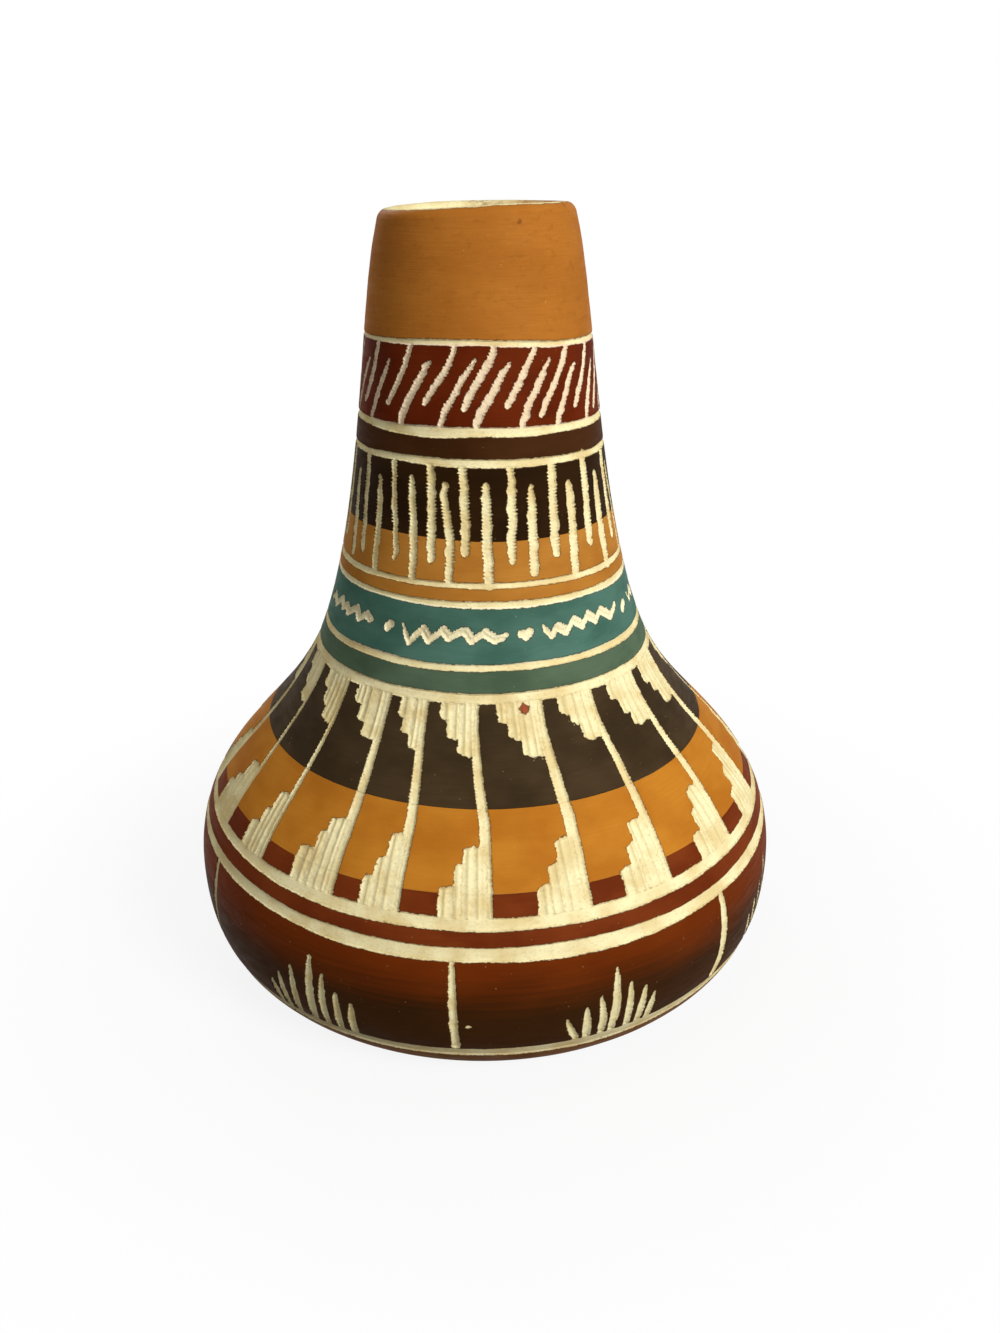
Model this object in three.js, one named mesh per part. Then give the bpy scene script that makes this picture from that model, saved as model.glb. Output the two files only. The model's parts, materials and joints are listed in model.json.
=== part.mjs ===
// Etched pottery vase: a hollow clay body with fourteen bands of coloured slip on it.
// Between the bands the slip is cut away, so the clay shows as pale rings.
// Millimetres, +Z up. The origin is the middle of the flat base.

import * as THREE from 'three';

// Outline of the outside, read from the base up
const HEIGHT = 203;
const BASE_RADIUS = 61;
const BELLY_RADIUS = 83.8;
const BELLY_HEIGHT = 27.8;
const BELLY_SQUARENESS = 2.5;
const SHOULDER_RISE = 31.4;
const WAIST_RADIUS = 44.4;
const WAIST_HEIGHT = 95.5;
const WAIST_LEAN = 0.4;
const WAIST_RUN_BELOW = 29.8;
const WAIST_RUN_ABOVE = 32.7;
const MOUTH_RADIUS = 24.3;
const MOUTH_LEAN = 0.3;
const MOUTH_RUN = 17;

// Clay wall and floor, and the slip that lies on the clay
const WALL = 5;
const FLOOR = 6;
const SLIP_THICKNESS = 0.5;
const SLIP_CLEARANCE = 0.3;
const COLOUR_JOIN_GAP = 0.3;
const FOOT_EDGE = 1.5;

// Rings cut through the slip: the height of the upper edge and the width
const NECK_RING_TOP = 175;
const NECK_RING_WIDTH = 1.4;
const UPPER_COLLAR_RING_TOP = 155.5;
const UPPER_COLLAR_RING_WIDTH = 2.2;
const LOWER_COLLAR_RING_TOP = 148.1;
const LOWER_COLLAR_RING_WIDTH = 1.8;
const UPPER_THREAD_RING_TOP = 119.3;
const UPPER_THREAD_RING_WIDTH = 1.7;
const LOWER_THREAD_RING_TOP = 114.5;
const LOWER_THREAD_RING_WIDTH = 1.4;
const ZIGZAG_RING_TOP = 99.9;
const ZIGZAG_RING_WIDTH = 1.8;
const SHOULDER_RING_TOP = 93.2;
const SHOULDER_RING_WIDTH = 2;
const UPPER_BELLY_RING_TOP = 49.6;
const UPPER_BELLY_RING_WIDTH = 2.5;
const LOWER_BELLY_RING_TOP = 43.6;
const LOWER_BELLY_RING_WIDTH = 3.3;
const FOOT_RING_TOP = 14;
const FOOT_RING_WIDTH = 3.2;

// Heights at which one slip colour gives way to the next with no ring between them
const STROKE_JOIN = 128.7;
const FRET_UPPER_JOIN = 70.2;
const FRET_LOWER_JOIN = 54.6;

// Fineness of the facets and of the search for a height along a curve
const SIDES = 48;
const LIP_STEPS = 4;
const CAVITY_STEPS = 14;
const SEARCH_ROUNDS = 40;

const CLAY = { color: 0xe8d6a8, roughness: 0.9 };
const TAN = { color: 0xb06c28, roughness: 0.72 };
const RED_BROWN = { color: 0x69271a, roughness: 0.7 };
const DARK_BROWN = { color: 0x3e2018, roughness: 0.7 };
const BLACK = { color: 0x30241e, roughness: 0.7 };
const TEAL = { color: 0x3c7369, roughness: 0.7 };
const GREEN = { color: 0x4b6455, roughness: 0.7 };
const OCHRE = { color: 0xc8822d, roughness: 0.72 };
const RUST = { color: 0x6e2d16, roughness: 0.7 };
const BELLY_RED = { color: 0x4a2016, roughness: 0.68 };

// The wall of the body at the mouth ends in a half round lip
const bodyDepth = SLIP_THICKNESS + SLIP_CLEARANCE;
const lipRadius = (WALL - bodyDepth) / 2;
const mouthHeight = HEIGHT - lipRadius;

const shoulderCurve = new THREE.CubicBezierCurve(
  new THREE.Vector2(BELLY_RADIUS, BELLY_HEIGHT),
  new THREE.Vector2(BELLY_RADIUS, BELLY_HEIGHT + SHOULDER_RISE),
  new THREE.Vector2(WAIST_RADIUS + WAIST_LEAN * WAIST_RUN_BELOW, WAIST_HEIGHT - WAIST_RUN_BELOW),
  new THREE.Vector2(WAIST_RADIUS, WAIST_HEIGHT),
);
const neckCurve = new THREE.CubicBezierCurve(
  new THREE.Vector2(WAIST_RADIUS, WAIST_HEIGHT),
  new THREE.Vector2(WAIST_RADIUS - WAIST_LEAN * WAIST_RUN_ABOVE, WAIST_HEIGHT + WAIST_RUN_ABOVE),
  new THREE.Vector2(MOUTH_RADIUS + MOUTH_LEAN * MOUTH_RUN, mouthHeight - MOUTH_RUN),
  new THREE.Vector2(MOUTH_RADIUS, mouthHeight),
);

// Radius of the rounded belly below its widest place
function bellyRadiusAt(height) {
  const drop = (BELLY_HEIGHT - height) / BELLY_HEIGHT;
  const spread = Math.max(1 - drop ** BELLY_SQUARENESS, 0) ** (1 / BELLY_SQUARENESS);
  return BASE_RADIUS + (BELLY_RADIUS - BASE_RADIUS) * spread;
}

// Radius of a curve whose height rises steadily along it
function curveRadiusAt(curve, height) {
  let low = 0;
  let high = 1;
  for (let round = 0; round < SEARCH_ROUNDS; round += 1) {
    const middle = (low + high) / 2;
    if (curve.getPoint(middle).y < height) low = middle;
    else high = middle;
  }
  return curve.getPoint((low + high) / 2).x;
}

function outsideRadiusAt(height) {
  if (height < BELLY_HEIGHT) return bellyRadiusAt(height);
  if (height < WAIST_HEIGHT) return curveRadiusAt(shoulderCurve, height);
  return curveRadiusAt(neckCurve, height);
}

// A point under the outside surface at the given height, measured square to the surface
function pointUnder(height, depth) {
  const step = 0.02;
  const above = Math.min(height + step, mouthHeight);
  const below = above - 2 * step;
  const lean = (outsideRadiusAt(above) - outsideRadiusAt(below)) / (above - below);
  const length = Math.hypot(1, lean);
  return new THREE.Vector2(outsideRadiusAt(height) - depth / length, height + (depth * lean) / length);
}

// Evenly spread heights from one to another, both ends included
function heightsBetween(from, to, steps) {
  const heights = [];
  for (let index = 0; index <= steps; index += 1) {
    heights.push(from + ((to - from) * index) / steps);
  }
  return heights;
}

// Heights of the lower edges of the rings
const neckRingFoot = NECK_RING_TOP - NECK_RING_WIDTH;
const upperCollarRingFoot = UPPER_COLLAR_RING_TOP - UPPER_COLLAR_RING_WIDTH;
const lowerCollarRingFoot = LOWER_COLLAR_RING_TOP - LOWER_COLLAR_RING_WIDTH;
const upperThreadRingFoot = UPPER_THREAD_RING_TOP - UPPER_THREAD_RING_WIDTH;
const lowerThreadRingFoot = LOWER_THREAD_RING_TOP - LOWER_THREAD_RING_WIDTH;
const zigzagRingFoot = ZIGZAG_RING_TOP - ZIGZAG_RING_WIDTH;
const shoulderRingFoot = SHOULDER_RING_TOP - SHOULDER_RING_WIDTH;
const upperBellyRingFoot = UPPER_BELLY_RING_TOP - UPPER_BELLY_RING_WIDTH;
const lowerBellyRingFoot = LOWER_BELLY_RING_TOP - LOWER_BELLY_RING_WIDTH;
const footRingFoot = FOOT_RING_TOP - FOOT_RING_WIDTH;

// The bands of slip from the mouth down: name, heights of both edges, facets up the band, finish
const bands = [
  ['neck_slip_tan', NECK_RING_TOP, mouthHeight, 4, TAN],
  ['stroke_band_slip_red', UPPER_COLLAR_RING_TOP, neckRingFoot, 3, RED_BROWN],
  ['collar_slip_brown', LOWER_COLLAR_RING_TOP, upperCollarRingFoot, 1, DARK_BROWN],
  ['stroke_band_slip_black', STROKE_JOIN, lowerCollarRingFoot, 3, BLACK],
  ['stroke_band_slip_tan', UPPER_THREAD_RING_TOP, STROKE_JOIN - COLOUR_JOIN_GAP, 2, TAN],
  ['thread_slip_tan', LOWER_THREAD_RING_TOP, upperThreadRingFoot, 1, TAN],
  ['zigzag_band_slip_teal', ZIGZAG_RING_TOP, lowerThreadRingFoot, 3, TEAL],
  ['shoulder_line_slip_green', SHOULDER_RING_TOP, zigzagRingFoot, 1, GREEN],
  ['fret_band_slip_black', FRET_UPPER_JOIN, shoulderRingFoot, 4, BLACK],
  ['fret_band_slip_ochre', FRET_LOWER_JOIN, FRET_UPPER_JOIN - COLOUR_JOIN_GAP, 3, OCHRE],
  ['fret_band_slip_rust', UPPER_BELLY_RING_TOP, FRET_LOWER_JOIN - COLOUR_JOIN_GAP, 1, RUST],
  ['belly_line_slip_rust', LOWER_BELLY_RING_TOP, upperBellyRingFoot, 1, RUST],
  ['belly_slip_red_to_black', FOOT_RING_TOP, lowerBellyRingFoot, 7, BELLY_RED],
  ['foot_slip_tan', FOOT_EDGE, footRingFoot, 4, TAN],
];

// A solid turned about the upright axis from an outline that runs up the outside
function turned(name, outline, finish) {
  const geometry = new THREE.LatheGeometry(outline, SIDES);
  geometry.rotateX(Math.PI / 2);
  const material = new THREE.MeshStandardMaterial({ ...finish, metalness: 0 });
  const mesh = new THREE.Mesh(geometry, material);
  mesh.name = name;
  return mesh;
}

function slipBand([name, low, high, steps, finish]) {
  const heights = heightsBetween(low, high, steps);
  const outside = heights.map((height) => pointUnder(height, 0));
  const back = heights.map((height) => pointUnder(height, SLIP_THICKNESS)).reverse();
  return turned(name, [...outside, ...back, outside[0].clone()], finish);
}

// The half round lip, from the outside of the body over to the inside
function lipOutline() {
  const outer = pointUnder(mouthHeight, bodyDepth);
  const inner = pointUnder(mouthHeight, WALL);
  const middle = outer.clone().add(inner).multiplyScalar(0.5);
  const points = [];
  for (let index = 1; index < LIP_STEPS; index += 1) {
    const angle = (Math.PI * index) / LIP_STEPS;
    points.push(new THREE.Vector2(
      middle.x + lipRadius * Math.cos(angle),
      middle.y + (HEIGHT - middle.y) * Math.sin(angle),
    ));
  }
  return points;
}

// The inside of the wall, from the mouth down to the flat floor
function cavityOutline() {
  const heights = heightsBetween(FOOT_EDGE, mouthHeight, CAVITY_STEPS).reverse();
  const wall = heights.map((height) => pointUnder(height, WALL)).filter((point) => point.y > FLOOR);
  const corner = new THREE.Vector2(wall[wall.length - 1].x, FLOOR);
  return [...wall, corner, new THREE.Vector2(0, FLOOR)];
}

function clayBody() {
  const outside = [];
  for (const [, low, high, steps] of [...bands].reverse()) {
    for (const height of heightsBetween(low, high, steps)) outside.push(pointUnder(height, bodyDepth));
  }
  const base = [new THREE.Vector2(0, 0), new THREE.Vector2(BASE_RADIUS, 0)];
  return turned('clay_body', [...base, ...outside, ...lipOutline(), ...cavityOutline()], CLAY);
}

const vase = new THREE.Group();
vase.add(clayBody());
for (const band of bands) vase.add(slipBand(band));

export default vase;
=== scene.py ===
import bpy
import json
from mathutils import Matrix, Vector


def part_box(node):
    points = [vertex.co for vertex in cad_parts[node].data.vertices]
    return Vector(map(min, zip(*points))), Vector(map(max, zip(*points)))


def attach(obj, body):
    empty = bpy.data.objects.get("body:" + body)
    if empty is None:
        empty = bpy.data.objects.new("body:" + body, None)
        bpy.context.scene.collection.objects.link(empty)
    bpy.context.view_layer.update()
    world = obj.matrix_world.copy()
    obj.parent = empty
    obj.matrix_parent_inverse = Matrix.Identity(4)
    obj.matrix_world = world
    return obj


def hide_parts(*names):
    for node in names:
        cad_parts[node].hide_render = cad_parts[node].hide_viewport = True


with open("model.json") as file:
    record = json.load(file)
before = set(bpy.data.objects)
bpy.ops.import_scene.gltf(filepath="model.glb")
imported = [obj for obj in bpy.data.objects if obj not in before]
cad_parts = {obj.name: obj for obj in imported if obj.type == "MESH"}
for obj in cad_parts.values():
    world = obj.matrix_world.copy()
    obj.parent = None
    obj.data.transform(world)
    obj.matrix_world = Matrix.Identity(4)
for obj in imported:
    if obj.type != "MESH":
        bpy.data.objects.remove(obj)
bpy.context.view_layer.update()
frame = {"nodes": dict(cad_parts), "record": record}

import copy
import json
import math

import bmesh
import bpy
import numpy as np
from mathutils import Matrix, Vector

# Everything below is worked out in millimetres and degrees, and written to Blender in metres
MM = 0.001

# The photograph's camera: its picture size, focal length, place and aim
PICTURE_LONG_SIDE = 1333
FOCAL_PIXELS = 1136.3
SENSOR = 36
CAMERA_DISTANCE = 297.7
CAMERA_HEIGHT = 214.1
CAMERA_PITCH = 24.261
CAMERA_ROLL = 0.78
AXIS_OFF_CENTRE = 17.42

# Depth of the rings and of the strokes, how far a band is carried past its edge at a ring and at a
# join of two colours, and the width of a cut's sloping wall
RING_DEPTH = 0.5
STROKE_DEPTH = 0.6
RING_LAP = 0.35
COLOUR_JOIN_LAP = 0.16
WALL_RUN = 0.3
# The frets' flutes, the ridges between them, and the slant of each step's end
FLUTE_WIDTH = 2.45
RIDGE_HEIGHT = 0.36
STEP_SLOPE = 0.3
STEP_SLANT = 2.4

# Depth of the clay under the slip and at the lip's inside, and its gap to the back of the slip
CLAY_DEPTH = 0.78
LIP_CLAY_DEPTH = 0.08
CLAY_GAP = 0.04
# How far the foot's slip runs on under the belly, and the neck's colour over the lip, with what the
# neck's colour runs further behind on the right
FOOT_SLIP_RUN = 8.5
LIP_COLOUR_RUN = 2.6
LIP_EXTRA_RUN = 1.3
LIP_RUN_ANGLE = 128
# Columns of the body's mesh, spacing of its rows under the slip, rows of a band's back, the thin row
# that keeps a band's end sharp, and the margin of each strip on the bake map
BODY_COLUMNS = 560
HIDDEN_ROW = 4
BACK_ROWS = 7
EDGE_ROW = 0.02
MAP_MARGIN = 0.003

# Lift of the hand-trimmed rim: all round, to the right, to the front and twice round, and how far
# along the skin it dies out
RIM_MEAN = 0.22
RIM_SIDE = 0.51
RIM_FRONT = 0.16
RIM_TWIST = 0.2
RIM_PINCH = 0.2
RIM_REACH = 22

# Floor and light
FLOOR_SIDE = 4.0
FLOOR_BOUNCE = (0.12, 0.12, 0.12, 1)
FLOOR_SEEN = (0.8, 0.8, 0.8, 1)
FILL_STRENGTH = 0.32
KEY_WATTS = 10.4
BACK_WATTS = 2.4
SIDE_WATTS = 0.6

RANDOM = np.random.default_rng(7)


def hash_to_unit(x, y, z, seed):
    """A repeatable random number from -1 to 1 for each lattice point."""
    n = (x * 73856093) ^ (y * 19349663) ^ (z * 83492791) ^ (seed * 2654435761)
    n = (n ^ (n >> 13)) & 0xFFFFFFFF
    n = (n * 1274126177) & 0xFFFFFFFF
    n = (n ^ (n >> 16)) & 0xFFFFFF
    return n / 0x7FFFFF - 1


def smooth_step(value):
    value = np.clip(value, 0, 1)
    return value * value * (3 - 2 * value)


def noise(x, y, z, seed=0):
    """Smooth noise from -1 to 1, one bump to each unit of x, y and z."""
    corner = [np.floor(v).astype(np.int64) for v in (x, y, z)]
    share = [smooth_step(v - c) for v, c in zip((x, y, z), corner)]
    total = 0
    for far in np.ndindex(2, 2, 2):
        weight = math.prod(s if f else 1 - s for s, f in zip(share, far))
        total = total + weight * hash_to_unit(*(c + f for c, f in zip(corner, far)), seed)
    return total


# The bands of slip from the foot up: the columns, row spacing and map strips of each one's mesh, then
# how far its lower and its upper edge, cut by hand, stray from level, in millimetres at 60, 40 and 20
# degrees to the left, in the middle, and at 20, 40 and 60 degrees to the right. A band with nothing
# for its lower edge meets the colour below with no ring between them
BANDS = [
    ("foot_slip_tan", 900, 0.6, 4, None, [-0.9, -0.9, -0.6, 0.0, -0.4, 0.8, 0.9]),
    ("belly_slip_red_to_black", 1320, 0.36, 4,
     [-1.3, -1.4, -0.6, 0.0, 0.1, 0.9, 1.2], [1.2, 0.75, -0.1, -0.1, -0.7, -0.2, -0.1]),
    ("belly_line_slip_rust", 1240, 0.5, 8,
     [0.7, 0.5, 0.3, 0.0, 0.0, -0.5, 0.2], [1.0, 0.5, 0.2, 0.0, -0.1, 0.15, 0.2]),
    ("fret_band_slip_rust", 1900, 0.34, 8,
     [1.0, 1.0, 0.8, 0.35, 0.5, 0.4, 0.7], [0.8, 0.4, 0.3, 0.1, 0.2, 0.0, -0.3]),
    ("fret_band_slip_ochre", 1900, 0.34, 4, None, [0.2, 0.15, 0.05, -0.3, -0.5, -0.7, -0.85]),
    ("fret_band_slip_black", 1700, 0.3, 3, None, [-0.6, -0.55, -0.5, -0.65, -0.7, -1.1, -1.5]),
    ("shoulder_line_slip_green", 720, 0.5, 6,
     [0.0, 0.0, 0.0, -0.2, -0.4, -0.75, -1.2], [-0.2, 0.2, -0.2, -0.1, -0.2, -0.6, -1.1]),
    ("zigzag_band_slip_teal", 1100, 0.22, 4,
     [-0.35, 0.1, -0.2, -0.2, -0.35, -0.8, -0.9], [0.1, 0.2, 0.0, -0.35, -0.7, -0.8, -1.4]),
    ("thread_slip_tan", 720, 0.4, 8,
     [0.0, 0.15, 0.15, 0.15, -0.3, -0.6, -1.0], [-0.3, 0.1, 0.1, -0.1, -0.3, -0.7, -1.1]),
    ("stroke_band_slip_tan", 1250, 0.17, 4,
     [-0.4, -0.25, -0.2, -0.3, -0.5, -0.9, -1.1], [0.7, 1.0, 0.9, 0.2, 0.0, -0.1, 0.1]),
    ("stroke_band_slip_black", 1250, 0.17, 3, None, [0.05, 0.3, 0.2, -0.2, -0.5, -0.8, -1.2]),
    ("collar_slip_brown", 640, 0.4, 5,
     [-0.3, 0.3, 0.3, 0.05, -0.3, -0.7, -1.3], [0.2, -0.3, -0.4, 0.0, -0.4, -0.5, -0.9]),
    ("stroke_band_slip_red", 1150, 0.17, 3,
     [-0.2, -0.1, 0.2, 0.1, -0.3, -0.7, -1.1], [-0.2, 0.1, 0.3, 0.2, -0.5, -1.1, -1.6]),
    ("neck_slip_tan", 640, 0.6, 4, [-0.6, -0.1, 0.3, 0.2, -0.3, -1.1, -1.6], None),
]
SLIP_NODES = [band[0] for band in BANDS]
STRAY_ANGLES = [-180, -140, -80, -60, -40, -20, 0, 20, 40, 60, 80, 140, 180]
# How far below the foot's and the mouth's edge the rings' strays have died out
LEVEL_BELOW_FOOT = 6
LEVEL_BELOW_MOUTH = 12

# The skin of the vase as one line from the middle of the base, up the outside, over the lip and
# down the inside to the middle of the floor, worked out from the frame

LINE_SPACING = 0.1
BASE_POINTS = 100
FOOT_POINTS = 60
LIP_POINTS = 70


def section_points(node):
    """Radius and height of a node's corners in the plane of its first facet edge."""
    corners = np.array([v.co for v in frame["nodes"][node].data.vertices]) / MM
    in_plane = (np.abs(corners[:, 0]) < 0.01) & (corners[:, 1] < 0.01)
    corners = corners[in_plane]
    return np.unique(np.round(np.stack([-corners[:, 1], corners[:, 2]], 1), 3), axis=0)


def outside_points(node):
    """The outer corner of each pair that spans a slip band's thickness, from the lowest up."""
    points = section_points(node)
    gaps = np.hypot(*(points[:, None] - points[None]).transpose(2, 0, 1))
    np.fill_diagonal(gaps, np.inf)
    partners = points[gaps.argmin(1)]
    outer = points[points[:, 0] > partners[:, 0]]
    return outer[outer[:, 1].argsort()]


def spline(points):
    """Closely spaced points on a smooth line through the given ones."""
    chord = np.r_[0, np.cumsum(np.hypot(*np.diff(points, axis=0).T))]
    slope = np.gradient(points, chord, axis=0)
    at = np.arange(0, chord[-1], LINE_SPACING)
    k = np.clip(np.searchsorted(chord, at, "right") - 1, 0, len(chord) - 2)
    width = (chord[k + 1] - chord[k])[:, None]
    t = ((at - chord[k]) / width[:, 0])[:, None]
    start, end = points[k], points[k + 1]
    line = (
        (2 * t**3 - 3 * t**2 + 1) * start
        + (t**3 - 2 * t**2 + t) * width * slope[k]
        + (3 * t**2 - 2 * t**3) * end
        + (t**3 - t**2) * width * slope[k + 1]
    )
    return np.vstack([line, points[-1]])


def foot_curve(flat_end, start, after):
    """A curve that leaves the flat base level and meets the outside in line with it."""
    rise = (after - start) / np.hypot(*(after - start))
    corner = start - rise * (start[1] - flat_end[1]) / rise[1]
    t = np.linspace(0, 1, FOOT_POINTS)[:, None]
    return (1 - t) ** 2 * flat_end + 2 * t * (1 - t) * corner + t**2 * start


def lip_curve(outer, inner, crest):
    """A rounded lip over the wall's top, from its outside to its inside."""
    middle = (outer + inner) / 2
    across = (outer - inner) / 2
    half = np.hypot(*across)
    along = np.array([-across[1], across[0]]) / half
    rise = math.sqrt((crest - middle[1]) ** 2 - across[1] ** 2) / along[1]
    turn = np.linspace(0, math.pi, LIP_POINTS)[:, None]
    return middle + np.cos(turn) * across + np.sin(turn) * rise * along


BAND_POINTS = {node: outside_points(node) for node in SLIP_NODES}
OUTSIDE = spline(np.vstack([BAND_POINTS[node] for node in SLIP_NODES]))
BODY_POINTS = section_points("clay_body")
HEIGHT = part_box("clay_body")[1].z / MM
BASE_EDGE = BODY_POINTS[BODY_POINTS[:, 1] < 0.01][-1]


def inside_points():
    """The corners of the cavity's wall from the mouth down to the floor."""
    gaps = np.hypot(*(BODY_POINTS[:, None] - OUTSIDE[None, ::5]).transpose(2, 0, 1)).min(1)
    radius, height = BODY_POINTS.T
    wall = BODY_POINTS[(gaps > 3) & (height < OUTSIDE[-1, 1]) & (radius > 1) & (height > 0.01)]
    return wall[wall[:, 1].argsort()[::-1]]


INSIDE = inside_points()
SKIN = np.vstack([
    np.linspace([0, 0], BASE_EDGE, BASE_POINTS)[:-1],
    foot_curve(BASE_EDGE, OUTSIDE[0], OUTSIDE[1])[:-1],
    OUTSIDE[:-1],
    lip_curve(OUTSIDE[-1], INSIDE[0], HEIGHT)[:-1],
    spline(INSIDE[:-1]),
    np.linspace(INSIDE[-1], [0, INSIDE[-1, 1]], BASE_POINTS),
])
LENGTHS = np.r_[0, np.cumsum(np.hypot(*np.diff(SKIN, axis=0).T))]
OUTSIDE_START = BASE_POINTS + FOOT_POINTS - 2
OUTSIDE_END = OUTSIDE_START + len(OUTSIDE) - 1
LENGTHS = LENGTHS - LENGTHS[OUTSIDE_START]
MOUTH_LENGTH = LENGTHS[OUTSIDE_END]
LIP_END = LENGTHS[OUTSIDE_END + LIP_POINTS - 1]
LIP_SLIP_END = MOUTH_LENGTH + 0.8 * (LIP_END - MOUTH_LENGTH)


def length_at(height):
    """Arc length up the outside to a height."""
    outside = slice(OUTSIDE_START, OUTSIDE_END + 1)
    return np.interp(height, SKIN[outside, 1], LENGTHS[outside])


def line_at(length):
    """Radius, height and outward normal of the skin at an arc length."""
    radius = np.interp(length, LENGTHS, SKIN[:, 0])
    height = np.interp(length, LENGTHS, SKIN[:, 1])
    ahead, behind = length + 0.3, length - 0.3
    run = np.interp(ahead, LENGTHS, SKIN[:, 0]) - np.interp(behind, LENGTHS, SKIN[:, 0])
    rise = np.interp(ahead, LENGTHS, SKIN[:, 1]) - np.interp(behind, LENGTHS, SKIN[:, 1])
    size = np.hypot(run, rise)
    return radius, height, rise / size, -run / size


def band_lengths(node):
    """Arc lengths of a slip band's lower and upper edge."""
    heights = BAND_POINTS[node][:, 1]
    return length_at(heights.min()), length_at(heights.max())


# Where the tool cut the slip. Angles are in degrees, seen from above, with 0 at the side that
# faces the camera and positive to the right. Heights are in millimetres above the table.

# Each stroke is half of its width, then angle and height along its middle, from the ring outward.
# Slanted strokes that hang from the neck ring, and those that stand on the collar ring
HANGING_SLANTS = [
    (0.8, [(-55.9, 173.4), (-57.8, 170), (-59.8, 166.2), (-63.3, 162), (-65.8, 159.9), (-67.3, 159.2)]),
    (0.75, [(-33.3, 173.6), (-35.6, 170), (-40.1, 165), (-42.2, 163), (-44.8, 160.8), (-46, 159.9)]),
    (0.72, [(-10.7, 173.6), (-13.5, 170), (-17, 167), (-21, 164), (-24.2, 161.5), (-25, 160.7)]),
    (0.85, [(7.4, 173.6), (6.6, 172), (4.7, 170), (2.1, 168), (-1.6, 165), (-3.6, 163), (-6.7, 159.8)]),
    (0.75, [(27.6, 173), (23.8, 170), (18.1, 165), (15.8, 163), (13.6, 161), (12.5, 160.1)]),
    (0.8, [(46, 172.4), (43.8, 170), (37.9, 165), (32.6, 161), (30, 158.7), (28.6, 157.5)]),
    (0.8, [(63.6, 172), (61.8, 169.5), (57.3, 165), (52.4, 161), (49.6, 158.4)]),
    (0.8, [(82.5, 172), (78.5, 167), (73.5, 162), (70, 159.2), (67.6, 156.5)]),
]
STANDING_SLANTS = [
    (0.75, [(-58.9, 155.6), (-57, 158), (-54.6, 161), (-50.9, 165), (-48, 168), (-46.6, 169.6)]),
    (0.95, [(-37.6, 155.6), (-36.6, 157.4), (-33.5, 161), (-31, 163.4), (-27.8, 166.2), (-24.8, 169),
            (-23.2, 170.1)]),
    (0.75, [(-17.5, 155.4), (-16.3, 157.6), (-14.6, 160), (-12.1, 162), (-8.9, 165), (-4.9, 168),
            (-2.5, 169.9), (-1.3, 170.8)]),
    (0.9, [(-1.2, 155.4), (-0.6, 157.4), (2.2, 160), (5.8, 163), (9.2, 166), (12.4, 168.6),
           (14.5, 169.9)]),
    (0.85, [(18.9, 155.3), (20.4, 157), (22.5, 160), (26.2, 163), (29.8, 166), (33.2, 168.9),
            (34.9, 169.8)]),
    (0.8, [(37.2, 155), (38.6, 157), (42, 160.2), (45.6, 164), (49.3, 167), (51, 168)]),
    (0.9, [(58.3, 154.7), (60, 157.6), (64.8, 163), (68, 166), (70.3, 167.8)]),
    (0.85, [(77.5, 154.6), (80.5, 158.5), (84.5, 163), (88.5, 168)]),
]
# Upright strokes that hang from the collar ring, and those that stand on the thread ring or just
# clear of it
HANGING_STROKES = [
    (0.9, [(-57.9, 146.3), (-57.7, 138), (-56.8, 130), (-56.3, 125), (-56.1, 122.7)]),
    (0.75, [(-39.8, 146.5), (-39, 140), (-37.6, 133), (-36.4, 128), (-36, 123.6)]),
    (1.05, [(-21.6, 146.5), (-20.7, 141), (-20.2, 135), (-20, 129), (-19.9, 124.3)]),
    (1.05, [(-7.6, 146.3), (-6.7, 141), (-6.3, 135), (-6.2, 130), (-6, 126.3)]),
    (0.95, [(12.7, 146), (13.2, 141), (13, 135), (12.3, 129), (12.1, 123.7)]),
    (1.15, [(31.9, 145.8), (31.7, 140), (31.3, 134), (31, 129), (30.9, 124.5)]),
    (1.25, [(51, 145.4), (51.1, 140), (50.7, 134), (50, 129), (49.6, 125)]),
    (1.4, [(70.8, 145), (71, 138), (70.6, 130), (70.6, 123.4)]),
]
STANDING_STROKES = [
    (1.0, [(-63.8, 120.6), (-64.6, 126), (-65.6, 132), (-66.5, 138), (-66.8, 141.2)]),
    (1.0, [(-46.5, 119), (-46.8, 124), (-46.7, 130), (-47.1, 136), (-47.9, 141.6)]),
    (0.98, [(-27.6, 119), (-27.5, 125), (-28, 130), (-28.9, 136), (-29.9, 141), (-30.2, 143.4)]),
    (1.0, [(-12.5, 119), (-12.2, 125), (-12.4, 130), (-13.8, 135), (-15, 140), (-14.9, 142.2)]),
    (1.15, [(2.7, 119), (2.6, 125), (2.4, 131), (2.5, 137), (2.2, 142)]),
    (1.15, [(20.7, 120.7), (21, 126), (21.3, 133), (21.6, 138), (21.3, 140.8)]),
    (1.25, [(39.2, 118.6), (39.9, 125), (40.6, 131), (40.8, 137), (40.4, 140.7)]),
    (1.4, [(59.7, 118.2), (59.6, 126), (59.7, 134), (60.2, 140.5)]),
]
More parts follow.
